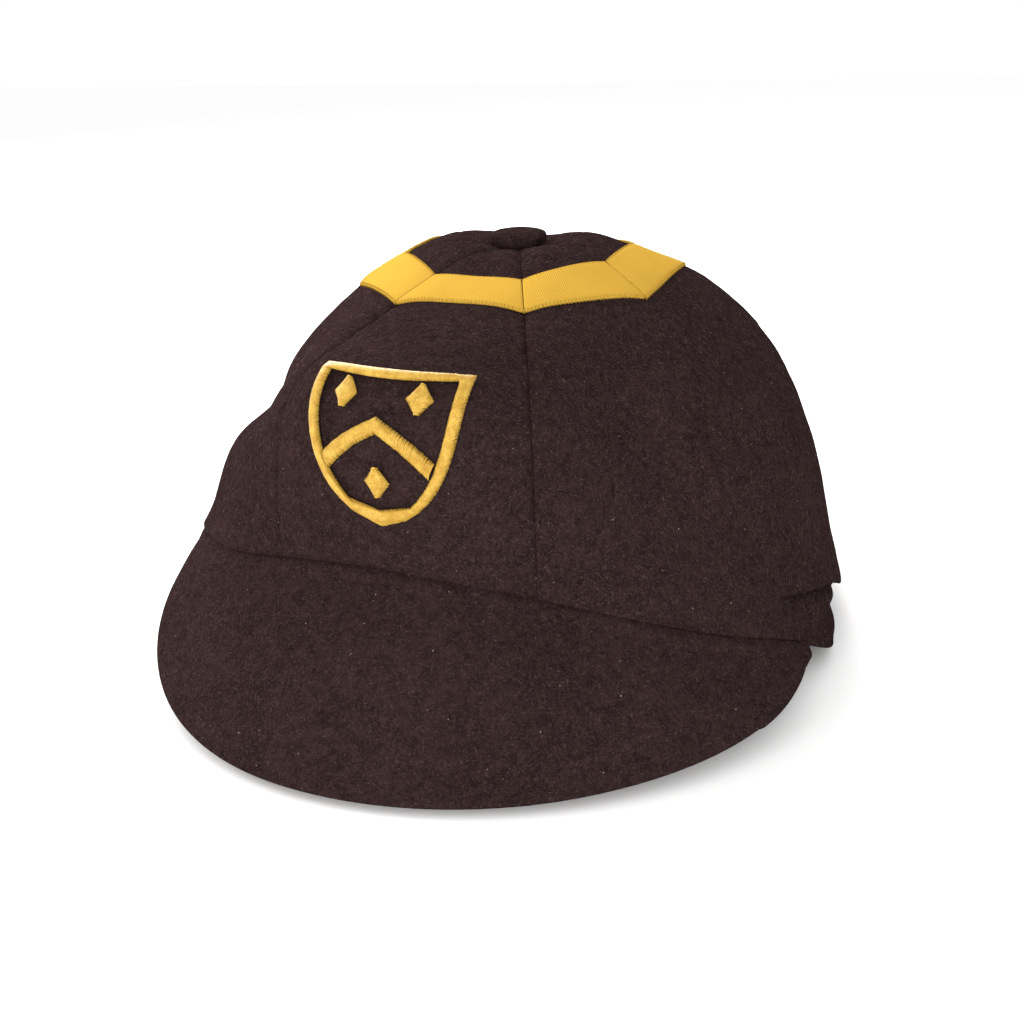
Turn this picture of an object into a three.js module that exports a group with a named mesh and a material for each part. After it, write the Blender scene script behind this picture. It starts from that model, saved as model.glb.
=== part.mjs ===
// A child's school cap: eight wool panels, a ribbon ring, a covered button, a peak and a badge.
// Millimetres, +Z up. The peak points to -Y, and the cap stands on z = 0 as it does unworn,
// on the front edge of its peak and the back of its rim.

import * as THREE from 'three';

// Cloth and gaps
const panelCount = 8;
const panelAngle = 360 / panelCount;
const clothThickness = 2.0;
const ribbonThickness = 0.8;
const clearGap = 0.35;

// Levels run down each panel: 0 at the apex, 1 at the rim
const tipLevel = 0.03;
const ringInnerLevel = 0.19;
const ringOuterLevel = 0.285;
const panelLevels = [
  tipLevel, 0.065, 0.11, 0.15, ringInnerLevel, 0.235, ringOuterLevel, 0.34, 0.4, 0.47, 0.54,
  0.61, 0.68, 0.75, 0.81, 0.86, 0.9, 0.928, 0.948, 0.967, 0.984, 1,
];
const panelColumns = 10;

// The crown's outline on six meridians, mirrored left and right. Azimuth is measured from the front.
// The panel leaves the ring falling by leaveAngle, and comes down on the rim at landAngle.
const sections = [
  { azimuth: 0, innerRadius: 28.6, innerHeight: 89.4, outerRadius: 41.7, outerHeight: 85.4,
    leaveAngle: 16, leaveReach: 30, landAngle: 101, landReach: 50, rimRadius: 78.6 },
  { azimuth: 22.5, innerRadius: 28.4, innerHeight: 90, outerRadius: 41.4, outerHeight: 85.3,
    leaveAngle: 19.9, leaveReach: 31.9, landAngle: 87.5, landReach: 47.9, rimRadius: 80.9 },
  { azimuth: 45, innerRadius: 28, innerHeight: 91.2, outerRadius: 40.8, outerHeight: 85.2,
    leaveAngle: 28, leaveReach: 34, landAngle: 56, landReach: 31, rimRadius: 85 },
  { azimuth: 67.5, innerRadius: 27.8, innerHeight: 91.9, outerRadius: 40.5, outerHeight: 85.1,
    leaveAngle: 28, leaveReach: 37.5, landAngle: 64, landReach: 42, rimRadius: 87.3 },
  { azimuth: 112.5, innerRadius: 28.1, innerHeight: 92.6, outerRadius: 41.8, outerHeight: 86.9,
    leaveAngle: 24, leaveReach: 33, landAngle: 87, landReach: 35, rimRadius: 81.5 },
  { azimuth: 180, innerRadius: 27.9, innerHeight: 89.4, outerRadius: 40.8, outerHeight: 85.6,
    leaveAngle: 23, leaveReach: 34, landAngle: 100, landReach: 36, rimRadius: 84 },
];
const apexHeight = 93.8;
const domeHeight = 2.6;
const domeLevel = 0.045;
const ringForward = 1.6;
const crownBulge = 1.15;
const levelRimFrom = 0.88;

// The rim rises to the front, where the peak props it up, and leans a little to one side.
// Behind the peak's ends it drops to the floor.
const rimRise = 37;
const rimRisePower = 2.3;
const rimLean = 4.5;
const rimDropStart = 60;
const rimDropEnd = 90;
const rimTrims = [
  { azimuth: -90, height: 0 },
  { azimuth: -67, height: 6.8 },
  { azimuth: -60, height: 3.7 },
  { azimuth: -30, height: -1.2 },
  { azimuth: 0, height: 0.3 },
  { azimuth: 35, height: 1.5 },
  { azimuth: 67, height: 0 },
];

// Each panel puffs out between its seams, less at the back. A higher power gives a flatter puff
// with steeper sides.
const backPuff = 0.2;
const puffs = [
  { level: 0, height: 0, power: 2 },
  { level: ringInnerLevel, height: 0.8, power: 4 },
  { level: ringOuterLevel, height: 1.5, power: 4 },
  { level: 0.5, height: 2.4, power: 2 },
  { level: 0.8, height: 1.6, power: 2 },
  { level: 1, height: 0.5, power: 2 },
];

// The side seams swing forwards half way down
const swingAngle = 9.5;
const swingWidth = 20;

// Dents and bulges of the soft cloth: place, half sizes along and across, turn and height
const folds = [
  { azimuth: 57, level: 0.7, along: 24, across: 9, turn: 25, height: -2.2 },
  { azimuth: 84, level: 0.4, along: 15, across: 8, turn: 20, height: -2.4 },
  { azimuth: 77, level: 1, along: 8, across: 9, turn: 0, height: 2.4 },
  { azimuth: -66, level: 0.62, along: 16, across: 23, turn: 0, height: -6.6 },
  { azimuth: -73, level: 0.42, along: 14, across: 17, turn: 0, height: -3.4 },
  { azimuth: -71, level: 0.98, along: 10, across: 22, turn: 0, height: -3.8 },
  { azimuth: -84, level: 0.64, along: 8, across: 18, turn: 10, height: -1.8 },
  { azimuth: -80, level: 0.8, along: 7, across: 16, turn: 0, height: 1.2 },
  { azimuth: 150, level: 0.5, along: 20, across: 12, turn: 15, height: -1.5 },
  { azimuth: -140, level: 0.55, along: 22, across: 12, turn: -15, height: -1.5 },
];

// Behind the peak an elastic draws the rim in, and the crown hangs over it. On the right, where
// the cloth is pulled flat, this starts further back.
const gatherStartRight = 96;
const gatherStartLeft = 68;
const gatherRamp = 12;
const overhang = { level: 0.925, width: 0.034, height: 2.2 };
const crease = { level: 0.968, width: 0.028, height: -3 };
const pleatAngle = 18;
const pleatHeight = 0.5;
const pleatLevel = 0.84;

// Peak
const peakHalfAngle = 66.5;
const peakHalfWidth = 80.8;
const peakReach = 76.8;
const peakSideShift = 2.7;
const peakLeftEndShift = 1;
const peakRightEndShift = 1.5;
const peakSkew = 3.4;
const peakFrontHeight = 2.1;
const peakThickness = 3.3;
const peakArch = 1.6;
const peakArchWidth = 30;
const peakGap = 0.45;
const peakColumns = 40;
const peakRows = 8;

// Button
const buttonRadius = 6.9;
const buttonThickness = 2.9;
const buttonSides = 24;
const buttonLift = 0.65;

// Badge: a shield outline with a chevron across it and three diamonds
const badgeTopDistance = 32.5;
const shieldWidth = 34;
const shieldHeight = 35;
const shieldSideCurve = 3;
const shieldPointCurve = 0.65;
const bandWidth = 2.4;
const chevronRise = 8;
const chevronHeight = 16;
const chevronBow = 0.6;
const chevronSlant = 1.3;
const shieldTopBow = 1.5;
const badgeThickness = 0.9;
const shieldSteps = 16;
const shieldTopSteps = 9;
const chevronSteps = 5;
const diamondSize = 3.2;
const diamondPointWidth = 0.3;
const diamonds = [
  { across: -8, down: 7.8 },
  { across: 8, down: 7.8 },
  { across: 0, down: 25 },
];

const materials = {
  wool: new THREE.MeshStandardMaterial({ color: 0x33252a, roughness: 0.95, metalness: 0 }),
  ribbon: new THREE.MeshStandardMaterial({ color: 0xe8ac2c, roughness: 0.6, metalness: 0 }),
  embroidery: new THREE.MeshStandardMaterial({ color: 0xe0b043, roughness: 0.5, metalness: 0 }),
};

const radians = THREE.MathUtils.degToRad;
const lerp = THREE.MathUtils.lerp;
const smoothstep = THREE.MathUtils.smoothstep;

function wrapAngle(angle) {
  return ((angle + 540) % 360) - 180;
}

function valueAt(table, key, position, column) {
  const last = table.length - 1;
  if (position >= table[last][key]) return table[last][column];
  const i = table.findIndex((row) => row[key] > position) - 1;
  const share = smoothstep(position, table[i][key], table[i + 1][key]);
  return lerp(table[i][column], table[i + 1][column], share);
}

// A section's value at an azimuth, on a smooth curve through the table's rows
function sectionValue(azimuth, column) {
  const around = Math.abs(wrapAngle(azimuth));
  const last = sections.length - 1;
  const i = around >= sections[last].azimuth
    ? last - 1 : sections.findIndex((row) => row.azimuth > around) - 1;
  const slope = (k) => (k === 0 || k === last ? 0
    : (sections[k + 1][column] - sections[k - 1][column])
      / (sections[k + 1].azimuth - sections[k - 1].azimuth));
  const span = sections[i + 1].azimuth - sections[i].azimuth;
  const t = (around - sections[i].azimuth) / span;
  const rise = t * t * (3 - 2 * t);
  return lerp(sections[i][column], sections[i + 1][column], rise)
    + span * (slope(i) * t * (1 - t) ** 2 - slope(i + 1) * t * t * (1 - t));
}

function rimHeight(azimuth) {
  const front = (1 + Math.cos(radians(azimuth))) / 2;
  const lean = rimLean * Math.sin(radians(azimuth)) * front;
  const dropped = smoothstep(Math.abs(wrapAngle(azimuth)), rimDropStart, rimDropEnd);
  const trim = valueAt(rimTrims, 'azimuth', Math.max(wrapAngle(azimuth), rimTrims[0].azimuth), 'height');
  return (1 - dropped) * Math.max(0, rimRise * front ** rimRisePower - lean + trim);
}

// Radius and height on the meridian that passes through an azimuth
function meridianPoint(azimuth, level) {
  const size = (column) => sectionValue(azimuth, column);
  const inner = new THREE.Vector2(size('innerRadius'), size('innerHeight'));
  const outer = new THREE.Vector2(size('outerRadius'), size('outerHeight'));
  if (level <= ringInnerLevel) {
    return new THREE.Vector2(0, apexHeight).lerp(inner, level / ringInnerLevel);
  }
  if (level <= ringOuterLevel) {
    return inner.lerp(outer, (level - ringInnerLevel) / (ringOuterLevel - ringInnerLevel));
  }
  const leave = radians(size('leaveAngle'));
  const land = radians(size('landAngle'));
  const rim = new THREE.Vector2(size('rimRadius'), rimHeight(azimuth));
  const leaveHandle = new THREE.Vector2(Math.cos(leave), -Math.sin(leave))
    .multiplyScalar(size('leaveReach')).add(outer);
  const landHandle = new THREE.Vector2(-Math.cos(land), Math.sin(land))
    .multiplyScalar(size('landReach')).add(rim);
  const curve = new THREE.CubicBezierCurve(outer, leaveHandle, landHandle, rim);
  return curve.getPoint((level - ringOuterLevel) / (1 - ringOuterLevel));
}

// Length of a panel from the apex to the rim, which is longer than the straight line
function crownLength(azimuth) {
  return meridianPoint(azimuth, 0).distanceTo(meridianPoint(azimuth, 1)) * crownBulge;
}

function ridge(level, shape) {
  return shape.height * Math.exp(-(((level - shape.level) / shape.width) ** 2));
}

// How far the cloth stands off the smooth meridian
function relief(azimuth, level) {
  const seamShare = (wrapAngle(azimuth) / (panelAngle / 2) + 2 * panelCount) % 2;
  const across = seamShare > 1 ? seamShare - 2 : seamShare;
  const puffShare = lerp(backPuff, 1, (1 + Math.cos(radians(azimuth))) / 2);
  const puff = 1 - Math.abs(across) ** valueAt(puffs, 'level', level, 'power');
  let height = puffShare * valueAt(puffs, 'level', level, 'height') * puff;
  if (level > domeLevel && level < ringInnerLevel) {
    const share = (level - domeLevel) / (ringInnerLevel - domeLevel);
    height += domeHeight * Math.sin(Math.PI * share);
  }
  const length = crownLength(azimuth);
  const radius = meridianPoint(azimuth, level).x;
  for (const fold of folds) {
    const sideways = radians(wrapAngle(azimuth - fold.azimuth)) * radius;
    const down = (level - fold.level) * length;
    const turn = radians(fold.turn);
    const along = (down * Math.cos(turn) + sideways * Math.sin(turn)) / fold.along;
    const aside = (sideways * Math.cos(turn) - down * Math.sin(turn)) / fold.across;
    height += fold.height * Math.exp(-(along * along + aside * aside));
  }
  const gatherStart = wrapAngle(azimuth) < 0 ? gatherStartRight : gatherStartLeft;
  const gathered = smoothstep(Math.abs(wrapAngle(azimuth)), gatherStart, gatherStart + gatherRamp);
  const pleats = pleatHeight * smoothstep(level, pleatLevel, 1) * Math.cos(radians(azimuth) * 360 / pleatAngle);
  return height + gathered * (ridge(level, overhang) + ridge(level, crease) + pleats);
}

function crownSurface(azimuth, level) {
  const middle = meridianPoint(azimuth, level);
  const step = 0.004;
  const before = meridianPoint(azimuth, Math.max(0, level - step));
  const after = meridianPoint(azimuth, Math.min(1, level + step));
  const along = after.sub(before).normalize();
  const lift = relief(azimuth, level);
  const reach = Math.max(0, (level - ringOuterLevel) / (1 - ringOuterLevel));
  // Ribbon and seams run straight between the seams at the ring, so the plan is an octagon there
  const half = radians(panelAngle / 2);
  const seamShare = (wrapAngle(azimuth) / (panelAngle / 2) + 2 * panelCount) % 2;
  const across = (seamShare > 1 ? seamShare - 2 : seamShare) * half;
  const chord = lerp(Math.cos(half) / Math.cos(across), 1, smoothstep(reach, 0, 0.6));
  const radius = middle.x * chord - along.y * lift;
  // Towards the rim the relief moves the cloth in and out only, so that the cap stands level on it
  const height = middle.y + along.x * lift * (1 - smoothstep(level, levelRimFrom, 1));
  const around = wrapAngle(azimuth);
  const nearSeam = Math.exp(-(((Math.abs(around) - 1.5 * panelAngle) / swingWidth) ** 2));
  const swing = Math.sign(around) * swingAngle * nearSeam * Math.sin(Math.PI * reach) ** 2;
  const turned = radians(azimuth - swing);
  const forward = ringForward * (1 - reach);
  return new THREE.Vector3(
    radius * Math.sin(turned), -radius * Math.cos(turned) - forward, Math.max(0, height));
}

// A point of the crown's outer face, or one that lies off it by a distance along its normal
function crownPoint(azimuth, level, offset = 0) {
  const point = crownSurface(azimuth, level);
  if (offset === 0) return point;
  const turn = 0.4;
  const step = 0.004;
  const sideways = crownSurface(azimuth + turn, level).sub(crownSurface(azimuth - turn, level));
  const down = crownSurface(azimuth, Math.min(1, level + step))
    .sub(crownSurface(azimuth, Math.max(0, level - step)));
  const normal = down.cross(sideways).normalize();
  return point.addScaledVector(normal, offset);
}

// A closed wall between two faces, each a function of two shares from 0 to 1
function closedWall(rows, columns, outerFace, innerFace) {
  const positions = [];
  for (const face of [outerFace, innerFace]) {
    for (let i = 0; i <= rows; i++) {
      for (let j = 0; j <= columns; j++) positions.push(...face(i / rows, j / columns).toArray());
    }
  }
  const at = (side, i, j) => (side * (rows + 1) + i) * (columns + 1) + j;
  const triangles = [];
  const quad = (a, b, c, d) => triangles.push(a, b, c, a, c, d);
  for (let i = 0; i < rows; i++) {
    for (let j = 0; j < columns; j++) {
      quad(at(0, i, j), at(0, i + 1, j), at(0, i + 1, j + 1), at(0, i, j + 1));
      quad(at(1, i, j), at(1, i, j + 1), at(1, i + 1, j + 1), at(1, i + 1, j));
    }
    quad(at(0, i, 0), at(1, i, 0), at(1, i + 1, 0), at(0, i + 1, 0));
    quad(at(0, i, columns), at(0, i + 1, columns), at(1, i + 1, columns), at(1, i, columns));
  }
  for (let j = 0; j < columns; j++) {
    quad(at(0, 0, j), at(0, 0, j + 1), at(1, 0, j + 1), at(1, 0, j));
    quad(at(0, rows, j), at(1, rows, j), at(1, rows, j + 1), at(0, rows, j + 1));
  }
  const geometry = new THREE.BufferGeometry();
  geometry.setAttribute('position', new THREE.Float32BufferAttribute(positions, 3));
  geometry.setIndex(triangles);
  geometry.computeVertexNormals();
  return geometry;
}

function addMesh(group, name, geometry, material) {
  const mesh = new THREE.Mesh(geometry, material);
  mesh.name = name;
  group.add(mesh);
}

// Azimuth across a panel, kept half a gap away from the seam on each side
function panelAzimuth(centre, level, share) {
  const radius = Math.max(meridianPoint(centre, level).x, 1);
  const seamAngle = THREE.MathUtils.radToDeg(Math.asin(clearGap / 2 / radius));
  const half = panelAngle / 2 - seamAngle;
  return centre + lerp(-half, half, share);
}

function panelGeometry(centre) {
  const rows = panelLevels.length - 1;
  const face = (offset) => (down, across) => {
    const level = panelLevels[Math.round(down * rows)];
    const azimuth = panelAzimuth(centre, level, across);
    const point = crownPoint(azimuth, level, offset);
    // The cut edge of the rim is level, so that the cap stands flat on it
    if (level === 1) point.z = crownPoint(azimuth, 1).z;
    return point;
  };
  return closedWall(rows, panelColumns, face(0), face(-clothThickness));
}

function ribbonGeometry(centre) {
  const rows = 2;
  const face = (offset) => (down, across) => {
    const level = lerp(ringInnerLevel, ringOuterLevel, down);
    return crownPoint(panelAzimuth(centre, level, across), level, offset);
  };
  return closedWall(rows, panelColumns, face(clearGap + ribbonThickness), face(clearGap));
}

function buttonGeometry() {
  const half = buttonThickness / 2;
  const profile = new THREE.Path();
  profile.moveTo(0, -half);
  profile.lineTo(buttonRadius - half, -half);
  profile.absarc(buttonRadius - half, 0, half, -Math.PI / 2, Math.PI / 2);
  profile.quadraticCurveTo(buttonRadius / 2, half * 0.75, 0, half * 0.7);
  const points = profile.getPoints(5).map((p) => new THREE.Vector2(Math.max(0, p.x), p.y));
  const geometry = new THREE.LatheGeometry(points, buttonSides);
  geometry.rotateX(Math.PI / 2);
  geometry.translate(0, -ringForward, apexHeight + buttonLift + half);
  return geometry;
}

// The peak's top face: from under the rim to its outer edge, side to side from -1 to 1
function peakInnerEdge(side) {
  const azimuth = side * peakHalfAngle;
  const edge = crownPoint(azimuth, 1, -clothThickness);
  edge.z = crownPoint(azimuth, 1).z - peakGap;
  return edge;
}

function peakOuterEdge(side) {
  const end = crownPoint(Math.sign(side) * peakHalfAngle, 1);
  const otherEnd = crownPoint(-Math.sign(side) * peakHalfAngle, 1);
  end.z -= peakGap;
  const turn = side * (Math.PI / 2);
  const back = 1 - Math.cos(turn);
  const width = Math.abs(Math.sin(turn));
  const half = lerp(peakHalfWidth * width, Math.abs(end.x), back ** 4);
  const endShift = side > 0 ? peakRightEndShift : peakLeftEndShift;
  const x = Math.sign(side) * half + lerp(peakSideShift, endShift, back ** 4);
  const baseY = lerp((end.y + otherEnd.y) / 2, end.y, back);
  const y = baseY - peakReach * Math.cos(turn) + peakSkew * Math.sin(2 * turn);
  const z = lerp(peakFrontHeight, end.z, back ** 1.5);
  return new THREE.Vector3(x, y, z);
}

function peakTop(side, reach) {
  const inner = peakInnerEdge(side);
  const outer = peakOuterEdge(side === 0 ? 1e-6 : side);
  const width = inner.distanceTo(outer);
  const arch = peakArch * Math.sin(Math.PI * reach) * Math.min(1, width / peakArchWidth);
  const point = inner.lerp(outer, reach);
  point.z += arch;
  return point;
}

function peakGeometry() {
  const top = (reach, share) => peakTop(lerp(-1, 1, share), reach);
  const bottom = (reach, share) => {
    const step = 0.01;
    const point = top(reach, share);
    const outward = top(Math.min(1, reach + step), share).sub(top(Math.max(0, reach - step), share));
    const sideways = top(reach, Math.min(1, share + step)).sub(top(reach, Math.max(0, share - step)));
    const normal = outward.cross(sideways).normalize();
    if (normal.z < 0) normal.negate();
    point.addScaledVector(normal, -peakThickness);
    point.z = Math.max(0, point.z);
    return point;
  };
  return closedWall(peakRows, peakColumns, top, bottom);
}

// Lays a flat outline on the front panel: x across, y down from the badge's top
function levelAtDistance(distance) {
  const steps = 400;
  let walked = 0;
  let last = crownPoint(0, ringOuterLevel);
  for (let i = 1; i <= steps; i++) {
    const level = lerp(ringOuterLevel, 1, i / steps);
    const next = crownPoint(0, level);
    walked += next.distanceTo(last);
    if (walked >= distance) return level;
    last = next;
  }
  return 1;
}

function onFrontPanel(across, down, offset) {
  const level = levelAtDistance(badgeTopDistance + down);
  const radius = meridianPoint(0, level).x;
  return crownPoint(THREE.MathUtils.radToDeg(across / radius), level, offset);
}

function raisedPoint(place, top) {
  return onFrontPanel(place.x, -place.y, top ? clearGap + badgeThickness : clearGap);
}

// A raised band between two lines of the same number of points, closed on itself or with two ends
function raisedBand(outerLine, innerLine, closed) {
  const count = outerLine.length;
  const positions = [];
  for (let i = 0; i < count; i++) {
    const corners = [[outerLine, false], [outerLine, true], [innerLine, true], [innerLine, false]];
    for (const [line, top] of corners) positions.push(...raisedPoint(line[i], top).toArray());
  }
  const triangles = [];
  const quad = (a, b, c, d) => triangles.push(a, b, c, a, c, d);
  for (let i = 0; i < (closed ? count : count - 1); i++) {
    const here = 4 * i;
    const next = 4 * ((i + 1) % count);
    for (let j = 0; j < 4; j++) {
      const k = (j + 1) % 4;
      quad(here + j, here + k, next + k, next + j);
    }
  }
  if (!closed) {
    const end = 4 * (count - 1);
    quad(3, 2, 1, 0);
    quad(end, end + 1, end + 2, end + 3);
  }
  const geometry = new THREE.BufferGeometry();
  geometry.setAttribute('position', new THREE.Float32BufferAttribute(positions, 3));
  geometry.setIndex(triangles);
  geometry.computeVertexNormals();
  return geometry;
}

// Half width of the shield at a distance below its top edge
function shieldHalfWidth(down) {
  const share = Math.min(1, down / shieldHeight);
  return (shieldWidth / 2) * (1 - share ** shieldSideCurve) ** shieldPointCurve;
}

// Points down one side of the shield, set in from its edge
function shieldSide(inset, from, to, steps) {
  const points = [];
  for (let i = 0; i <= steps; i++) {
    const down = lerp(from, to, i / steps);
    points.push(new THREE.Vector2(Math.max(0, shieldHalfWidth(down) - inset), -down));
  }
  return points;
}

function mirrored(points) {
  return points.map((p) => new THREE.Vector2(-p.x, p.y)).reverse();
}

// Points between two ends, bowed a little to one side, without the ends themselves
function bowed(from, to, steps, bow) {
  const across = to.clone().sub(from).normalize().rotateAround(new THREE.Vector2(), Math.PI / 2);
  const points = [];
  for (let i = 1; i < steps; i++) {
    const share = i / steps;
    points.push(from.clone().lerp(to, share).addScaledVector(across, bow * 4 * share * (1 - share)));
  }
  return points;
}

function shieldLoop(inset, tipInset) {
  const right = shieldSide(inset, inset, shieldHeight - tipInset, shieldSteps);
  right[shieldSteps].x = 0;
  const left = mirrored(right);
  const top = bowed(left[shieldSteps], right[0], shieldTopSteps, -shieldTopBow);
  return [...right, ...left.slice(1), ...top];
}

function shieldGeometry() {
  return raisedBand(shieldLoop(0, 0), shieldLoop(bandWidth, bandWidth * 1.5), true);
}

// The chevron's upper or lower edge, from the shield's right side to its left one
function chevronEdge(drop) {
  const foot = chevronHeight + chevronRise / 2 + drop;
  const right = new THREE.Vector2(shieldHalfWidth(foot) - bandWidth - clearGap, -foot);
  const tip = new THREE.Vector2(0, -(chevronHeight - chevronRise / 2 + drop));
  const left = new THREE.Vector2(-right.x, right.y);
  return [
    right, ...bowed(right, tip, chevronSteps, -chevronBow), tip,
    ...bowed(tip, left, chevronSteps, -chevronBow), left,
  ];
}

function chevronGeometry() {
  return raisedBand(chevronEdge(bandWidth * chevronSlant), chevronEdge(0), false);
}

function diamondGeometry(place) {
  const edge = (side) => [-1, 0, 1].map((share) => {
    const wide = diamondSize * (1 - Math.abs(share)) * 0.75 + diamondPointWidth;
    return new THREE.Vector2(place.across + side * wide, -place.down + share * diamondSize);
  });
  return raisedBand(edge(1).reverse(), edge(-1).reverse(), false);
}

const cap = new THREE.Group();
for (let i = 0; i < panelCount; i++) {
  addMesh(cap, `crown_panel_${i + 1}`, panelGeometry(i * panelAngle), materials.wool);
}
for (let i = 0; i < panelCount; i++) {
  addMesh(cap, `ring_segment_${i + 1}`, ribbonGeometry(i * panelAngle), materials.ribbon);
}
addMesh(cap, 'crown_button', buttonGeometry(), materials.wool);
addMesh(cap, 'peak', peakGeometry(), materials.wool);
addMesh(cap, 'badge_shield', shieldGeometry(), materials.embroidery);
addMesh(cap, 'badge_chevron', chevronGeometry(), materials.embroidery);
diamonds.forEach((place, i) => {
  addMesh(cap, `badge_diamond_${i + 1}`, diamondGeometry(place), materials.embroidery);
});

// The origin lies on the floor, under the middle of the whole cap
const middle = new THREE.Box3().setFromObject(cap).getCenter(new THREE.Vector3());
cap.position.set(-middle.x, -middle.y, 0);

const root = new THREE.Group();
root.add(cap);
export default root;
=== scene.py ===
import bisect
import math
import random

import bmesh
import bpy
from mathutils import Matrix, Vector
from mathutils.kdtree import KDTree
from mathutils.noise import noise


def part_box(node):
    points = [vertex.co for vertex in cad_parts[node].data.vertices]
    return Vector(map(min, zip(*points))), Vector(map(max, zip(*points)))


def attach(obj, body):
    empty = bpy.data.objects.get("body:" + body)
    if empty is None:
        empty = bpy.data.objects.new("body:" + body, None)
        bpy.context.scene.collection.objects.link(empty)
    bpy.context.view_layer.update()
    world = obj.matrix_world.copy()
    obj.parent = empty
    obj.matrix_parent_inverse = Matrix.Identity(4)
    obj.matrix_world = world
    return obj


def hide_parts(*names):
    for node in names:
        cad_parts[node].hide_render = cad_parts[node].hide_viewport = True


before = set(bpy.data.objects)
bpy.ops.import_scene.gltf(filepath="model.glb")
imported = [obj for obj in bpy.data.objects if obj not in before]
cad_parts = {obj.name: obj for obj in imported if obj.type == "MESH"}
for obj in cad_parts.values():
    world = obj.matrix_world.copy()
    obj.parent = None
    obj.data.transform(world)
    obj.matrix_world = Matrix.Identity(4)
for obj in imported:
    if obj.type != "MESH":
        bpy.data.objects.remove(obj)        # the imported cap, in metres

scene = bpy.context.scene
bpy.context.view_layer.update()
mm = 0.001
panelAngle = 45               # degrees between seams
mergeDistance = 0.003 * mm    # corners of a CAD mesh nearer than this are one
edgeSamples = 8               # places that stand for one edge in a search for the nearest
crownAxis = Vector((-0.00097, 0.01206, 0))    # the crown's upright axis, on the floor

# Camera, fitted to the photograph: 1024 pixels square
camera = {
    "azimuth": 22.15, "elevation": 22.0, "roll": -1.65,
    "distance": 0.3298, "target": (-0.00556, 0.01206, 0.02025),
    "focalPixels": 1200, "imagePixels": 1024, "sensor": 36.0,
}


def makeCamera():
    azimuth, elevation, roll = (math.radians(camera[k]) for k in ("azimuth", "elevation", "roll"))
    back = Vector((math.sin(azimuth) * math.cos(elevation),
                   -math.cos(azimuth) * math.cos(elevation), math.sin(elevation)))
    level = Vector((0, 0, 1)).cross(back).normalized()
    up = back.cross(level)
    right = level * math.cos(roll) + up * math.sin(roll)
    top = up * math.cos(roll) - level * math.sin(roll)
    data = bpy.data.cameras.new("camera")
    data.sensor_width = camera["sensor"]
    data.lens = camera["focalPixels"] / camera["imagePixels"] * camera["sensor"]
    data.clip_start = 0.01
    eye = bpy.data.objects.new("camera", data)
    scene.collection.objects.link(eye)
    turn = Matrix((right, top, back)).transposed().to_4x4()
    place = Vector(camera["target"]) + back * camera["distance"]
    eye.matrix_world = Matrix.Translation(place) @ turn
    scene.camera = eye


# Studio
studio = {
    "floorSize": 6.0, "floorColor": (0.97, 0.97, 0.97), "floorRoughness": 0.9,
    "worldColor": (1.0, 1.0, 1.0), "worldStrength": 1.0, "aimHeight": 0.04,
    "lights": [
        # name, place, size, watts, colour
        ("frontLight", (0.25, -1.25, 0.28), 0.8, 14.5, (1.0, 0.99, 0.97)),
        ("sideLight", (-1.2, 0.1, 0.6), 1.0, 12.0, (1.0, 0.98, 0.96)),
        ("backLight", (-0.7, 0.9, 0.8), 1.0, 33.0, (1.0, 0.98, 0.96)),
    ],
}


def makeStudio():
    world = bpy.data.worlds.new("studio")
    world.use_nodes = True
    background = world.node_tree.nodes["Background"]
    background.inputs["Color"].default_value = (*studio["worldColor"], 1)
    background.inputs["Strength"].default_value = studio["worldStrength"]
    scene.world = world
    for name, place, size, watts, color in studio["lights"]:
        data = bpy.data.lights.new(name, "AREA")
        data.size = size
        data.energy = watts
        data.color = color
        lamp = bpy.data.objects.new(name, data)
        scene.collection.objects.link(lamp)
        lamp.location = place
        aim = Vector((0, 0, studio["aimHeight"])) - Vector(place)
        lamp.rotation_euler = aim.to_track_quat("-Z", "Y").to_euler()
    bpy.ops.mesh.primitive_plane_add(size=studio["floorSize"])
    floor = bpy.context.object
    floor.name = "floor"
    finish = Finish("floorPaint")
    finish.shader({
        "Base Color": (*studio["floorColor"], 1), "Roughness": studio["floorRoughness"],
        "Specular IOR Level": 0.0,
    })
    floor.data.materials.append(finish.material)
    scene.view_settings.view_transform = "Standard"
    scene.view_settings.look = "None"


# Shader helpers: a socket that does sums, and one way to add any other node
class Value:
    def __init__(self, finish, socket):
        self.finish, self.socket = finish, socket

    def sum(self, operation, *others):
        inputs = dict(enumerate((self, *others)))
        return self.finish.node("ShaderNodeMath", {"operation": operation}, inputs)

    def __add__(self, other):
        return self.sum("ADD", other)

    def __mul__(self, other):
        return self.sum("MULTIPLY", other)

    __radd__ = __add__
    __rmul__ = __mul__

    def above(self, low, high):      # 0 at low, 1 at high, and smooth between them
        settings = {"interpolation_type": "SMOOTHSTEP"}
        inputs = {"Value": self, "From Min": low, "From Max": high}
        return self.finish.node("ShaderNodeMapRange", settings, inputs)


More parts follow.
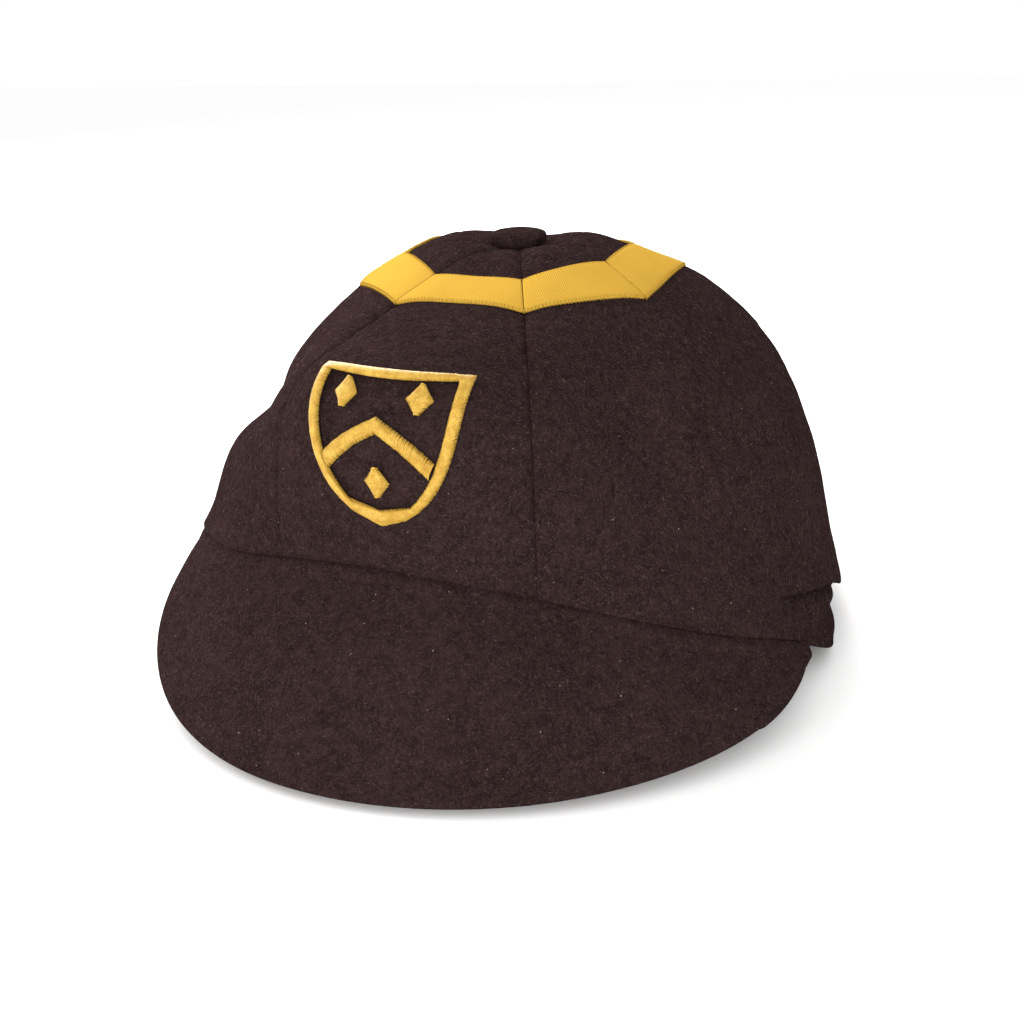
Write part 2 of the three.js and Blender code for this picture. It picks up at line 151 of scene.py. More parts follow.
class Finish:
    def __init__(self, name):
        self.material = bpy.data.materials.new(name)
        self.material.use_nodes = True
        self.tree = self.material.node_tree
        self.tree.nodes.clear()

    def node(self, kind, settings=None, inputs=None, out=0):
        made = self.tree.nodes.new(kind)
        for key, value in (settings or {}).items():
            setattr(made, key, value)
        for key, value in (inputs or {}).items():
            if isinstance(value, Value):
                self.tree.links.new(value.socket, made.inputs[key])
            else:
                made.inputs[key].default_value = value
        return Value(self, made.outputs[out])

    def place(self):
        return self.node("ShaderNodeTexCoord", out="Object")

    def grain(self, vector, scale, detail=2.0, roughness=0.55):
        inputs = {"Vector": vector, "Scale": scale, "Detail": detail, "Roughness": roughness}
        return self.node("ShaderNodeTexNoise", None, inputs)

    def mix(self, share, low, high):
        # sockets 6 and 7 are the Mix node's two colours, and output 2 is its result
        return self.node("ShaderNodeMix", {"data_type": "RGBA"}, {0: share, 6: low, 7: high}, out=2)

    def warped(self, vector, scale, reach):
        # the Noise node's output 1 is a colour, which pushes the place in all three directions
        inputs = {"Vector": vector, "Scale": scale, "Detail": 1.0}
        drift = self.node("ShaderNodeTexNoise", None, inputs, out=1)
        inputs = {0: drift, 1: (reach, reach, reach), 2: vector}
        return self.node("ShaderNodeVectorMath", {"operation": "MULTIPLY_ADD"}, inputs)

    def bump(self, height, depth, strength):
        inputs = {"Height": height, "Distance": depth, "Strength": strength}
        return self.node("ShaderNodeBump", None, inputs)

    def shader(self, inputs):
        body = self.node("ShaderNodeBsdfPrincipled", None, inputs)
        end = self.tree.nodes.new("ShaderNodeOutputMaterial")
        self.tree.links.new(body.socket, end.inputs["Surface"])


# Felted wool: mottled, with short curled fibres and specks of lint
wool = {
    "deep": (0.0085, 0.0046, 0.0046, 1), "light": (0.031, 0.0174, 0.0172, 1),
    "fibre": (0.085, 0.058, 0.056, 1), "lint": (0.36, 0.31, 0.27, 1),
    "feltScale": 1300, "clumpScale": 420, "cloudScale": 45, "fleckScale": 2100,
    "mottle": (0.3, 0.7), "feltShare": 0.45, "clumpShare": 0.4, "cloudShare": 0.15,
    "fibreTurns": (
        (0, 0, 0.2), (0, 0.9, 0.5), (0, 1.57, 0), (0, 0.7, 1.5), (0, -0.8, 2.3), (0, 0.3, 1.1),
    ),
    "fibreLength": 2.0 * mm, "fibreWidth": 0.26 * mm, "fibreRange": (0.66, 0.78), "fibreShare": 0.5,
    "fleckRange": (0.58, 0.74), "fleckShare": 0.25, "curlScale": 330, "curlReach": 1.6 * mm,
    "lintScale": 620, "lintSize": 0.085, "lintRange": (0.88, 0.9),
    "roughness": 0.95, "feltHeight": 0.45, "clumpHeight": 0.65, "fibreHeight": 0.3,
    "bumpDepth": 0.4 * mm, "bumpStrength": 0.7,
}


def makeWool():
    finish = Finish("wool")
    place = finish.place()
    felt = finish.grain(place, wool["feltScale"], 3, 0.6)
    clumps = finish.grain(place, wool["clumpScale"], 3, 0.6)
    cloud = finish.grain(place, wool["cloudScale"], 2)
    flecks = finish.grain(place, wool["fleckScale"], 1).above(*wool["fleckRange"])
    curled = finish.warped(place, wool["curlScale"], wool["curlReach"])
    size = (wool["fibreLength"], wool["fibreWidth"], wool["fibreWidth"])
    fibres = 0.0
    for turn in wool["fibreTurns"]:
        turned = finish.node("ShaderNodeMapping", {"vector_type": "TEXTURE"},
                             {"Vector": curled, "Rotation": turn, "Scale": size})
        streak = finish.grain(turned, 1.0, 1, 0.4).above(*wool["fibreRange"])
        fibres = streak.sum("MAXIMUM", fibres)
    # lint: a spot in the middle of a cell, in the few cells whose own colour is bright enough
    cells = {"Vector": curled, "Scale": wool["lintScale"]}
    spot = finish.node("ShaderNodeTexVoronoi", None, cells)
    cellColor = finish.node("ShaderNodeTexVoronoi", None, cells, out=1)
    bright = finish.node("ShaderNodeSeparateColor", None, {"Color": cellColor})
    chosen = bright.above(*wool["lintRange"])
    lint = spot.above(wool["lintSize"], wool["lintSize"] * 0.5) * chosen
    mottle = felt.above(*wool["mottle"]) * wool["feltShare"]
    mottle += clumps.above(*wool["mottle"]) * wool["clumpShare"]
    mottle += cloud.above(*wool["mottle"]) * wool["cloudShare"]
    color = finish.mix(mottle, wool["deep"], wool["light"])
    strands = fibres * wool["fibreShare"] + flecks * wool["fleckShare"]
    color = finish.mix(strands, color, wool["fibre"])
    color = finish.mix(lint, color, wool["lint"])
    height = felt * wool["feltHeight"] + clumps * wool["clumpHeight"] + fibres * wool["fibreHeight"]
    finish.shader({
        "Base Color": color, "Roughness": wool["roughness"], "Specular IOR Level": 0.0,
        "Normal": finish.bump(height, wool["bumpDepth"], wool["bumpStrength"]),
    })
    return finish.material


# Ribbon: ribs run across it, a half millimetre apart, with painted shade in the grooves between them
ribbon = {
    "deep": (0.34, 0.185, 0.016, 1), "light": (0.60, 0.37, 0.062, 1),
    "ribWidth": 0.5, "slant": 0.16, "wander": 0.25, "wanderScale": 420,
    "fleckScale": 2600, "cloudScale": 90, "ribGrooveShade": 0.45, "fleckShare": 0.35, "cloudShare": 0.25,
    "roughness": 0.7, "ribHeight": 0.8, "fleckHeight": 0.3, "bumpDepth": 0.1 * mm, "bumpStrength": 0.8,
    "sink": 0.5 * mm, "edgeSink": 0.12 * mm, "edgeReach": 0.01 * mm, "alongShare": 0.8,
    "creaseAngle": 55, "crease": 0.8, "levels": 2,
    "stitchSpacing": 0.9 * mm, "stitchReach": 0.5 * mm, "stitchOver": 0.6, "stitchDepth": 0.7 * mm,
    "stitchArch": 0.1 * mm, "stitchSlide": 0.1, "stitchRadius": 0.13 * mm,
}


def makeRibbon():
    finish = Finish("ribbon")
    place = finish.place()
    map2d = finish.node("ShaderNodeUVMap", {"uv_map": "threads"})
    along = finish.node("ShaderNodeSeparateXYZ", None, {"Vector": map2d}, out=0)
    across = finish.node("ShaderNodeSeparateXYZ", None, {"Vector": map2d}, out=1)
    wander = finish.grain(place, ribbon["wanderScale"], 2) * ribbon["wander"]
    turns = (along + across * ribbon["slant"] + wander) * (2 * math.pi / ribbon["ribWidth"])
    rib = turns.sum("SINE") * 0.5 + 0.5
    fleck = finish.grain(place, ribbon["fleckScale"], 2)
    cloud = finish.grain(place, ribbon["cloudScale"], 2)
    # the colour is painted darker in the grooves between the ribs (painted shade), and the flecks and
    # clouds add random tone
    tone = rib * ribbon["ribGrooveShade"] + fleck * ribbon["fleckShare"] + cloud * ribbon["cloudShare"]
    height = rib * ribbon["ribHeight"] + fleck * ribbon["fleckHeight"]
    finish.shader({
        "Base Color": finish.mix(tone, ribbon["deep"], ribbon["light"]),
        "Roughness": ribbon["roughness"], "Specular IOR Level": 0.0,
        "Normal": finish.bump(height, ribbon["bumpDepth"], ribbon["bumpStrength"]),
    })
    return finish.material


# Embroidery: every satin stitch is a thread of its own
embroidery = {
    "deep": (0.36, 0.19, 0.016, 1), "light": (0.60, 0.39, 0.07, 1),
    "strandScale": 3200, "cloudScale": 500, "toneRange": (0.3, 0.72),
    "roughness": 0.42, "specular": 0.25, "bumpDepth": 0.05 * mm, "bumpStrength": 0.6,
    "threadSpacing": 0.36 * mm, "spacingRange": (0.35, 0.65), "threadRadius": 0.2 * mm,
    "threadArch": 0.3 * mm, "raggedEnds": 0.14 * mm, "bandDepth": 0.75 * mm, "topShare": 0.5,
}


def makeEmbroidery():
    finish = Finish("embroidery")
    place = finish.place()
    strands = finish.grain(place, embroidery["strandScale"], 2)
    cloud = finish.grain(place, embroidery["cloudScale"], 2)
    tone = (strands * 0.5 + cloud * 0.5).above(*embroidery["toneRange"])
    finish.shader({
        "Base Color": finish.mix(tone, embroidery["deep"], embroidery["light"]),
        "Roughness": embroidery["roughness"], "Specular IOR Level": embroidery["specular"],
        "Normal": finish.bump(strands, embroidery["bumpDepth"], embroidery["bumpStrength"]),
    })
    return finish.material


# Small helpers for pieces
quadAngle = math.radians(70)    # triangles that differ by less become one four-sided face


def activate(piece):
    bpy.ops.object.select_all(action="DESELECT")
    piece.select_set(True)
    bpy.context.view_layer.objects.active = piece


def copyNode(node, name):
    piece = bpy.data.objects.new(name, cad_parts[node].data.copy())
    scene.collection.objects.link(piece)
    activate(piece)
    bpy.ops.object.mode_set(mode="EDIT")
    bpy.ops.mesh.select_all(action="SELECT")
    bpy.ops.mesh.remove_doubles(threshold=mergeDistance)
    bpy.ops.mesh.tris_convert_to_quads(face_threshold=quadAngle, shape_threshold=quadAngle)
    bpy.ops.object.mode_set(mode="OBJECT")
    return piece


def newPiece(name, points, polygons):
    data = bpy.data.meshes.new(name)
    data.from_pydata(points, [], polygons)
    piece = bpy.data.objects.new(name, data)
    scene.collection.objects.link(piece)
    return piece


def creaseEdges(piece, angle, crease, wanted=lambda edge: True):
    # creases the edges that bend by more than the angle, so that subdivision keeps them
    activate(piece)
    bpy.ops.object.mode_set(mode="EDIT")
    bpy.ops.mesh.select_mode(type="EDGE")
    bpy.ops.mesh.select_all(action="DESELECT")
    mesh = bmesh.from_edit_mesh(piece.data)
    for edge in mesh.edges:
        sharp = len(edge.link_faces) == 2 and edge.calc_face_angle() > math.radians(angle)
        edge.select = sharp and wanted(edge)
    mesh.select_flush_mode()
    bmesh.update_edit_mesh(piece.data)
    bpy.ops.transform.edge_crease(value=crease)
    bpy.ops.object.mode_set(mode="OBJECT")


def subdivide(piece, levels):
    activate(piece)
    smooth = piece.modifiers.new("smooth", "SUBSURF")
    smooth.levels = smooth.render_levels = levels
    bpy.ops.object.modifier_apply(modifier=smooth.name)


def dress(piece, material, slot, *nodes):
    piece.data.materials.clear()
    piece.data.materials.append(material)
    activate(piece)
    bpy.ops.object.shade_smooth()
    if nodes:
        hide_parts(*nodes)
    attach(piece, "root")


def nearestTo(points):
    tree = KDTree(len(points))
    for index, point in enumerate(points):
        tree.insert(point, index)
    tree.balance()
    return tree


def azimuthOf(point):      # degrees from the front, growing towards the wearer's left
    return math.degrees(math.atan2(point.x - crownAxis.x, crownAxis.y - point.y))


def tangentAt(azimuth):
    return Vector((math.cos(math.radians(azimuth)), math.sin(math.radians(azimuth)), 0))


def fade(value, low, high):      # 0 at low, 1 at high, and smooth between them
    share = min(1.0, max(0.0, (value - low) / (high - low)))
    return share * share * (3 - 2 * share)


# The soft cloth's small unevenness. Whatever is sewn to the crown follows it.
relief = {
    "lumpScale": 42, "lumpHeight": 0.4 * mm, "ruckScale": 120, "ruckHeight": 0.16 * mm,
    "gatherAngle": 6.2, "gatherHeight": 0.6 * mm, "gatherTop": 26 * mm, "gatherFull": 8 * mm,
    "gatherStart": 98, "gatherEnd": 125,
    "gatherWander": 5.0, "wanderAround": 0.08, "wanderUp": 18,
    "domeStart": 40 * mm, "domeRise": 1.3,
}


def flatOutward(point):
    return Vector((point.x - crownAxis.x, point.y - crownAxis.y, 0)).normalized()


def outward(point):
    rise = max(0.0, point.z - relief["domeStart"]) * relief["domeRise"]
    return Vector((point.x - crownAxis.x, point.y - crownAxis.y, rise)).normalized()


def reliefAt(point):
    lump = noise(point * relief["lumpScale"]) * relief["lumpHeight"]
    ruck = noise(point * relief["ruckScale"]) * relief["ruckHeight"]
    azimuth = azimuthOf(point)
    back = fade(abs(azimuth), relief["gatherStart"], relief["gatherEnd"])
    low = 1 - fade(point.z, relief["gatherFull"], relief["gatherTop"])
    place = Vector((azimuth * relief["wanderAround"], 0, point.z * relief["wanderUp"]))
    wander = noise(place) * relief["gatherWander"]
    gather = math.cos(math.radians((azimuth + wander) * 360 / relief["gatherAngle"]))
    return lump + ruck + gather * relief["gatherHeight"] * back * low


def roughen(piece):
    for vertex in piece.data.vertices:
        vertex.co += outward(vertex.co) * reliefAt(vertex.co)


# Crown panels
panel = {
    "sideShare": 0.8, "seamReach": 0.2 * mm,
    "creaseAngle": 55, "crease": 0.7, "levels": 2, "foldedLevels": 3,
    "grooveDepth": 0.42 * mm, "grooveWidth": 1.2 * mm,
    "puckerScale": 260, "puckerHeight": 0.5 * mm, "puckerWidth": 2.6 * mm,
    "flatSeam": 67.5, "flatSeamReach": 12, "flatSeamGroove": 0.25,
}

# The crown sags over its gathered rim in a sharp fold on the wearer's left. The fold runs through
# these places: azimuth in degrees, and height in mm.
sag = {
    "line": [(63, 23.2), (70, 21.4), (78, 18.8), (85, 15.6), (92, 11.2), (100, 5.2), (108, 0)],
    "lipHeight": 0.9 * mm, "lipWidth": 5.0 * mm, "tuckDepth": 2.4 * mm, "tuckWidth": 2.8 * mm,
    "tuckStart": 1.1 * mm, "overhang": 0.7 * mm, "fadeIn": 7, "fadeOut": 24, "panels": (2, 3),
}


def sagHeight(azimuth):
    line = sag["line"]
    if not line[0][0] < azimuth < line[-1][0]:
        return None
    k = max(i for i in range(len(line) - 1) if line[i][0] <= azimuth)
    share = (azimuth - line[k][0]) / (line[k + 1][0] - line[k][0])
    return (line[k][1] + (line[k + 1][1] - line[k][1]) * share) * mm


def sagMove(point):
    # above the fold the cloth stands out and hangs over, and under it the cloth turns in
    azimuth = azimuthOf(point)
    height = sagHeight(azimuth)
    if height is None:
        return Vector()
    strength = fade(azimuth, sag["line"][0][0], sag["line"][0][0] + sag["fadeIn"])
    strength *= 1 - fade(azimuth, sag["line"][-1][0] - sag["fadeOut"], sag["line"][-1][0])
    away = point.z - height
    if away >= 0:
        share = math.exp(-(away / sag["lipWidth"]) ** 2)
        push, drop = sag["lipHeight"] * share, sag["overhang"] * share
    else:
        share = math.exp(-(away / sag["tuckWidth"]) ** 2)
        push, drop = -sag["tuckDepth"] * share * fade(-away, 0, sag["tuckStart"]), 0
    return (flatOutward(point) * push - Vector((0, 0, drop))) * strength


def makePanel(number, material):
    piece = copyNode(f"crown_panel_{number}", f"crownPanel{number}")
    # the sides are pushed out a little, so that neighbours meet at the seam
    pushes = {}
    for face in piece.data.polygons:
        tangent = Vector((0, 0, 1)).cross(outward(face.center)).normalized()
        if abs(face.normal.dot(tangent)) > panel["sideShare"]:
            for i in face.vertices:
                pushes[i] = pushes.get(i, Vector()) + face.normal
    for i, push in pushes.items():
        piece.data.vertices[i].co += push.normalized() * panel["seamReach"]
    seamEdges = [e for e in piece.data.edges if e.vertices[0] in pushes and e.vertices[1] in pushes]
    seamKeys = {tuple(sorted(edge.vertices)) for edge in seamEdges}

    def onSeam(edge):
        return tuple(sorted(vertex.index for vertex in edge.verts)) in seamKeys

    creaseEdges(piece, panel["creaseAngle"], panel["crease"], onSeam)
    seamPoints = []
    for edge in seamEdges:
        a, b = (piece.data.vertices[i].co for i in edge.vertices)
        seamPoints += [a.lerp(b, k / edgeSamples) for k in range(edgeSamples)]
    seams = nearestTo(seamPoints)
    folded = number in sag["panels"]
    subdivide(piece, panel["foldedLevels"] if folded else panel["levels"])
    # each seam is a shallow groove with puckers beside it, and the groove is weaker at the seams
    # that come down at the peak's ends, where the cloth is pulled flat
    shallow = panel["flatSeamGroove"]
    for vertex in piece.data.vertices:
        near, _, away = seams.find(vertex.co)
        depth = fade(abs(abs(azimuthOf(near)) - panel["flatSeam"]), 0, panel["flatSeamReach"])
        pucker = noise(vertex.co * panel["puckerScale"]) * math.exp(-away / panel["puckerWidth"])
        groove = math.exp(-(away / panel["grooveWidth"]) ** 2) * (shallow + (1 - shallow) * depth)
        push = pucker * panel["puckerHeight"] - groove * panel["grooveDepth"]
        vertex.co += outward(vertex.co) * push
        if folded:
            vertex.co += sagMove(vertex.co)
    roughen(piece)
    dress(piece, material, "wool", f"crown_panel_{number}")
    return piece


# Threads and stitches: one thread is modelled once, and every stitch is a bent copy of it
threadShape = {"sides": 6, "cuts": 4, "tipStart": 0.49, "tipWidth": 0.55}


def makeThreadShape(sides, cuts):
    # points of a thread one long and two wide, as along, across and up, and its faces
    bpy.ops.object.select_all(action="DESELECT")
    bpy.ops.mesh.primitive_cylinder_add(vertices=sides, radius=1, depth=1)
    piece = bpy.context.object
    bpy.ops.object.mode_set(mode="EDIT")
    bpy.ops.mesh.select_mode(type="EDGE")
    bpy.ops.mesh.select_all(action="DESELECT")
    mesh = bmesh.from_edit_mesh(piece.data)
    for edge in mesh.edges:
        if abs(edge.verts[0].co.z - edge.verts[1].co.z) > 0.5:
            edge.select = True
    bmesh.update_edit_mesh(piece.data)
    bpy.ops.mesh.subdivide(number_cuts=cuts)
    bpy.ops.object.mode_set(mode="OBJECT")
    shape = []
    for vertex in piece.data.vertices:
        x, y, z = vertex.co
        width = threadShape["tipWidth"] if abs(z) > threadShape["tipStart"] else 1.0
        shape.append((z, x * width, y * width))
    faces = [tuple(face.vertices) for face in piece.data.polygons]
    bpy.data.objects.remove(piece)
    return shape, faces


def sewPiece(name, stitches, radius):
    # each stitch: its two ends, the way it stands up, and how high it arches
    shape, faces = makeThreadShape(threadShape["sides"], threadShape["cuts"])
    points, polygons = [], []
    for start, end, normal, arch in stitches:
        first = len(points)
        side = (end - start).cross(normal).normalized()
        for along, across, up in shape:
            rise = up * radius + arch * (1 - (2 * along) ** 4)
            points.append(start.lerp(end, along + 0.5) + side * across * radius + normal * rise)
        polygons += [[first + i for i in face] for face in faces]
    piece = newPiece(name, points, polygons)
    activate(piece)
    bpy.ops.object.mode_set(mode="EDIT")
    bpy.ops.mesh.select_all(action="SELECT")
    bpy.ops.mesh.normals_make_consistent(inside=False)
    bpy.ops.object.mode_set(mode="OBJECT")
    roughen(piece)
    return piece


# Ribbon ring
def topFaces(data, normalShare=0.6):
    return [f for f in data.polygons if f.normal.dot(outward(f.center)) > normalShare]


def ribbonEdges(data, centre):
    # points along the ribbon's two long edges, on its top face
    used = {}
    for face in topFaces(data):
        for key in face.edge_keys:
            used[key] = used.get(key, 0) + 1
    tangent = tangentAt(centre)
    border = [key for key, count in used.items() if count == 1]
    long = []
    for a, b in border:
        step = (data.vertices[b].co - data.vertices[a].co).normalized()
        if abs(step.dot(tangent)) > ribbon["alongShare"]:
            long += [a, b]
    points = [data.vertices[i].co.copy() for i in sorted(set(long))]
    radius = [math.hypot(p.x - crownAxis.x, p.y - crownAxis.y) for p in points]
    middle = (max(radius) + min(radius)) / 2
    inner = [p for p, r in zip(points, radius) if r < middle]
    outer = [p for p, r in zip(points, radius) if r >= middle]
    return [sorted(line, key=lambda p: p.dot(tangent)) for line in (inner, outer)]


def alongLine(line, spacing):
    # evenly spaced points on a line of points
    walked = [0.0]
    for a, b in zip(line, line[1:]):
        walked.append(walked[-1] + (b - a).length)
    count = max(1, round(walked[-1] / spacing))
    points = []
    for k in range(count + 1):
        at = walked[-1] * k / count
        i = max(j for j in range(len(line) - 1) if walked[j] <= at + 1e-12)
        share = (at - walked[i]) / (walked[i + 1] - walked[i])
        points.append(line[i].lerp(line[i + 1], share))
    return points


def makeRibbonSegment(number, material):
    node = f"ring_segment_{number}"
    centre = (number - 1) * panelAngle
    piece = copyNode(node, f"ribbonSegment{number}")
    edges = ribbonEdges(piece.data, centre)
    # the ribbon lies on the wool, and thins towards its two long edges
    for vertex in piece.data.vertices:
        toEdge = min((vertex.co - p).length for line in edges for p in line)
        onEdge = toEdge < ribbon["edgeReach"]
        vertex.co -= outward(vertex.co) * (ribbon["sink"] + (ribbon["edgeSink"] if onEdge else 0))
    creaseEdges(piece, ribbon["creaseAngle"], ribbon["crease"])
    subdivide(piece, ribbon["levels"])
    # the ribs follow a map laid flat on the ribbon, in mm along and across it
    tangent = tangentAt(centre)
    threads = piece.data.uv_layers.new(name="threads")
    for loop in piece.data.loops:
        point = piece.data.vertices[loop.vertex_index].co
        across = math.hypot(point.x - crownAxis.x, point.y - crownAxis.y)
        threads.data[loop.index].uv = (point.dot(tangent) / mm, across / mm)
    roughen(piece)
    dress(piece, material, "ribbon", node)
    # overcast stitches along both long edges
    stitches = []
    rng = random.Random(number)
    for line, facing in zip(edges, (-1, 1)):
        for point in alongLine(line, ribbon["stitchSpacing"]):
            away = flatOutward(point)
            normal = outward(point)
            slope = (away - normal * away.dot(normal)).normalized() * facing
            slide = tangent * rng.uniform(-ribbon["stitchSlide"], ribbon["stitchSlide"]) * mm
            start = point - slope * ribbon["stitchReach"] - normal * ribbon["sink"] + slide
            under = normal * (ribbon["sink"] + ribbon["stitchDepth"])
            end = point + slope * ribbon["stitchReach"] * ribbon["stitchOver"] - under + slide
            stitches.append((start, end, normal, ribbon["stitchArch"]))
    hem = sewPiece(f"ribbonStitches{number}", stitches, ribbon["stitchRadius"])
    hem.data.uv_layers.new(name="threads")
    dress(hem, material, "ribbon")


# Covered button
button = {
    "segments": 96, "rings": 24, "fullness": 0.7, "roundness": 0.8, "undersideDepth": 2.6,
    "dimple": 0.35 * mm, "dimpleReach": 0.5, "tucks": 12, "tuckDepth": 0.22 * mm,
    "tuckRange": (-0.45, 0.5),
}


def makeButton(material):
    low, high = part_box("crown_button")
    centre = (low + high) / 2
    size = high - low
    bpy.ops.object.select_all(action="DESELECT")
    bpy.ops.mesh.primitive_uv_sphere_add(
        segments=button["segments"], ring_count=button["rings"], radius=0.5)
    piece = bpy.context.object
    piece.name = "crownButton"
    # a new sphere's faces come in another order in each run, so they are put in one order
    points = [vertex.co.copy() for vertex in piece.data.vertices]
    polygons = sorted(tuple(face.vertices) for face in piece.data.polygons)
    piece.data.clear_geometry()
    piece.data.from_pydata(points, [], polygons)
    for vertex in piece.data.vertices:
        x, y, z = vertex.co * 2
        reach = math.hypot(x, y)
        # a flat dome: full at the rim, with a shallow dip in the middle and tucks underneath, and
        # sewn down into the crown
        scale = reach ** button["fullness"] / reach if reach > 0 else 1
        turn = math.atan2(y, x)
        tuck = button["tuckDepth"] * math.cos(button["tucks"] * turn) * reach
        tuck *= fade(-z, *button["tuckRange"])
        height = abs(z) ** button["roundness"]
        dip = 0
        if z > 0:
            dip = button["dimple"] * max(0, 1 - (reach / button["dimpleReach"]) ** 2)
        else:
            height *= -button["undersideDepth"]
        shaped = (x * scale * (size.x / 2 + tuck), y * scale * (size.y / 2 + tuck),
                  height * size.z / 2 - dip)
        vertex.co = Vector(shaped) + centre
    dress(piece, material, "wool", "crown_button")
    return piece


# Peak: the cloth covers a board, and is turned over its outer edge
peak = {
    "creaseAngle": 50, "crease": 0.95, "levels": 3,
    "outerFacing": 0.3, "outerSlope": (-0.75, 0.45), "innerFacing": -0.55, "innerSlope": -0.45,
    "edgeHeight": 4.2 * mm, "lineDepth": 0.5 * mm, "linePlace": 0.85 * mm, "lineWidth": 0.4 * mm,
    "lift": 0.9 * mm, "liftFull": 2.2 * mm, "liftReach": 4.8 * mm,
    "flare": 1.4 * mm, "flareReach": 2.2 * mm,
    "leftFlare": (22, 60), "rightFlare": (8, 45),    # azimuths between which it grows
}


def makePeak(material):
    piece = copyNode("peak", "peakCover")
    creaseEdges(piece, peak["creaseAngle"], peak["crease"])
    # the outer edge's upper and lower lines, and the inner edge's upper line
    lines = ([], [], [])
    lowSlope, highSlope = peak["outerSlope"]
    for face in piece.data.polygons:
        facing = face.normal.dot(flatOutward(face.center))
        slope = face.normal.z
        corners = [piece.data.vertices[i].co for i in face.vertices]
        upper = [p for p in corners if p.z >= face.center.z]
        lower = [p for p in corners if p.z < face.center.z]
        if facing > peak["outerFacing"] and lowSlope < slope < highSlope:
            ends = (upper, lower, [])
        elif facing < peak["innerFacing"] and slope > peak["innerSlope"]:
            ends = ([], [], upper)
        else:
            continue
        for line, pair in zip(lines, ends):
            if pair:
                line += [pair[0].lerp(pair[-1], k / edgeSamples) for k in range(edgeSamples + 1)]
    trees = [nearestTo(line) for line in lines]
    subdivide(piece, peak["levels"])
    # The top cloth is turned over the edge, and its join shows as a thin line. At the sides the
    # edge leans out. The inner edge is sewn up against the crown's rim.
    for vertex in piece.data.vertices:
        down, up, inward = (tree.find(vertex.co)[2] for tree in trees)
        azimuth = azimuthOf(vertex.co)
        side = fade(abs(azimuth), *peak["leftFlare" if azimuth > 0 else "rightFlare"])
        push = peak["flare"] * side * math.exp(-(up / peak["flareReach"]) ** 2)
        if down + up < peak["edgeHeight"]:
            fromLine = (down - peak["linePlace"]) / peak["lineWidth"]
            push -= peak["lineDepth"] * math.exp(-fromLine ** 2)
        lift = peak["lift"] * (1 - fade(inward, peak["liftFull"], peak["liftReach"]))
        vertex.co += flatOutward(vertex.co) * push + Vector((0, 0, lift))
    dress(piece, material, "wool", "peak")
    return piece


# Loose hairs of the wool: one hair is modelled once, and every other is a bent copy of it
hairs = {
    "count": 5000, "seed": 7, "sides": 3, "cuts": 2, "radius": 0.019 * mm,
    "length": (0.35 * mm, 1.2 * mm), "lift": 0.1 * mm, "liftRange": (0.2, 1), "curl": 0.4,
    "slide": 0.5, "outwardShare": 0.3, "upShare": 0.6,
    "color": (0.15, 0.118, 0.105, 1), "roughness": 0.9,
}


def makeHairs(pieces):
    finish = Finish("woolHair")
    finish.shader({
        "Base Color": hairs["color"], "Roughness": hairs["roughness"], "Specular IOR Level": 0.0,
    })
    rng = random.Random(hairs["seed"])
    # only faces that show carry hairs, each by its area
    places, reaches, total = [], [], 0.0
    for piece in pieces:
        for face in piece.data.polygons:
            facing = face.normal.dot(outward(face.center))
            if facing > hairs["outwardShare"] or face.normal.z > hairs["upShare"]:
                total += face.area
                places.append((face.center.copy(), face.normal.copy()))
                reaches.append(total)
    shape, faces = makeThreadShape(hairs["sides"], hairs["cuts"])
    points, polygons = [], []
    for _ in range(hairs["count"]):
        centre, normal = places[bisect.bisect_left(reaches, rng.uniform(0, total))]
        drift = Vector((rng.uniform(-1, 1), rng.uniform(-1, 1), rng.uniform(-1, 1)))
        way = drift.cross(normal).normalized()
        side = normal.cross(way)
        length = rng.uniform(*hairs["length"])
        curl = rng.uniform(-1, 1) * hairs["curl"] * length
        lift = rng.uniform(*hairs["liftRange"]) * hairs["lift"]
        start = centre + side * rng.uniform(-hairs["slide"], hairs["slide"]) * mm
        first = len(points)
        for along, across, up in shape:
            bow = 1 - (2 * along) ** 2
            sideways = side * (across * hairs["radius"] + curl * bow)
            upwards = normal * (up * hairs["radius"] + lift * bow)
            points.append(start + way * along * length + sideways + upwards)
        polygons += [[first + i for i in face] for face in faces]
    dress(newPiece("woolHairs", points, polygons), finish.material, "wool")


# Badge of satin stitch: a shield outline, a chevron and three diamonds
badge = [
    # node, piece, side where an open band is begun, seed
    ("badge_shield", "badgeShield", None, 11),
    ("badge_chevron", "badgeChevron", Vector((1, 0, 0)), 12),
    ("badge_diamond_1", "badgeDiamond1", Vector((0, 0, 1)), 13),
    ("badge_diamond_2", "badgeDiamond2", Vector((0, 0, 1)), 14),
    ("badge_diamond_3", "badgeDiamond3", Vector((0, 0, 1)), 15),
]


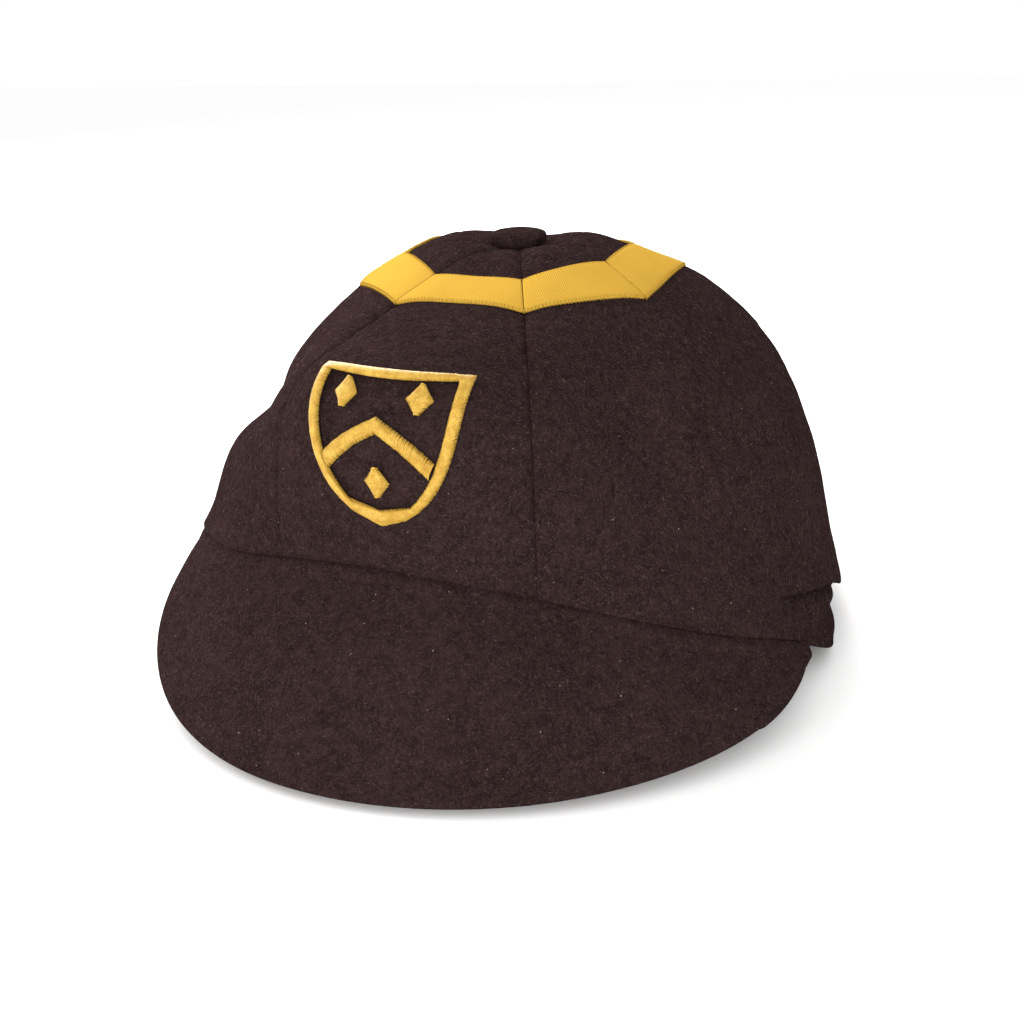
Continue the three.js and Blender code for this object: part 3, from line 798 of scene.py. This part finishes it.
def crossLines(data, endSide):
    # the pairs of points across a band's top face, in order along the band
    owners = {}
    for face in topFaces(data, embroidery["topShare"]):
        for key in face.edge_keys:
            owners.setdefault(key, []).append(face)
    place = [vertex.co for vertex in data.vertices]
    if endSide is None:
        inside = [key for key, faces in owners.items() if len(faces) == 2]
        first = min(inside, key=lambda k: (place[k[0]] - place[k[1]]).length)
    else:
        border = [key for key, faces in owners.items() if len(faces) == 1]
        first = max(border, key=lambda k: (place[k[0]] + place[k[1]]).dot(endSide))
    left, right = first
    face = owners[first][0]
    pairs, seen = [(left, right)], set()
    while face.index not in seen:
        seen.add(face.index)
        third = next(i for i in face.vertices if i not in (left, right))
        leftKey, rightKey = tuple(sorted((left, third))), tuple(sorted((right, third)))
        diagonal = leftKey if len(owners[leftKey]) == 2 else rightKey
        other = next(f for f in owners[diagonal] if f.index != face.index)
        seen.add(other.index)
        fourth = next(i for i in other.vertices if i not in diagonal)
        # the third point carries on the line that the diagonal doesn't start from
        left, right = (fourth, third) if diagonal == leftKey else (third, fourth)
        pairs.append((left, right))
        following = [f for f in owners[tuple(sorted((left, right)))] if f.index not in seen]
        if not following:
            break
        face = following[0]
    return [(place[a].copy(), place[b].copy()) for a, b in pairs]


def makeBand(node, name, material, endSide, seed):
    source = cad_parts[node].data.copy()
    merged = bmesh.new()
    merged.from_mesh(source)
    bmesh.ops.remove_doubles(merged, verts=merged.verts, dist=mergeDistance)
    merged.to_mesh(source)
    merged.free()
    pairs = crossLines(source, endSide)
    bpy.data.meshes.remove(source)
    rng = random.Random(seed)
    stitches = []
    depth = embroidery["bandDepth"]
    for (a0, b0), (a1, b1) in zip(pairs, pairs[1:]):
        length = max((a0 - a1).length, (b0 - b1).length)
        count = max(1, round(length / embroidery["threadSpacing"]))
        for k in range(count):
            share = (k + rng.uniform(*embroidery["spacingRange"])) / count
            a, b = a0.lerp(a1, share), b0.lerp(b1, share)
            normal = outward((a + b) / 2)
            across = (b - a).normalized()
            a = a - across * rng.uniform(0.0, embroidery["raggedEnds"]) - normal * depth
            b = b + across * rng.uniform(0.0, embroidery["raggedEnds"]) - normal * depth
            stitches.append((a, b, normal, depth + embroidery["threadArch"]))
    piece = sewPiece(name, stitches, embroidery["threadRadius"])
    dress(piece, material, "embroidery", node)


print("studio")
makeCamera()
makeStudio()
print("materials")
woolCloth = makeWool()
ribbonCloth = makeRibbon()
thread = makeEmbroidery()
print("crown panels")
woolPieces = [makePanel(number, woolCloth) for number in range(1, 9)]
print("ribbon ring")
for number in range(1, 9):
    makeRibbonSegment(number, ribbonCloth)
print("button and peak")
woolPieces += [makeButton(woolCloth), makePeak(woolCloth)]
print("hairs")
makeHairs(woolPieces)
print("badge")
for node, name, endSide, seed in badge:
    makeBand(node, name, thread, endSide, seed)
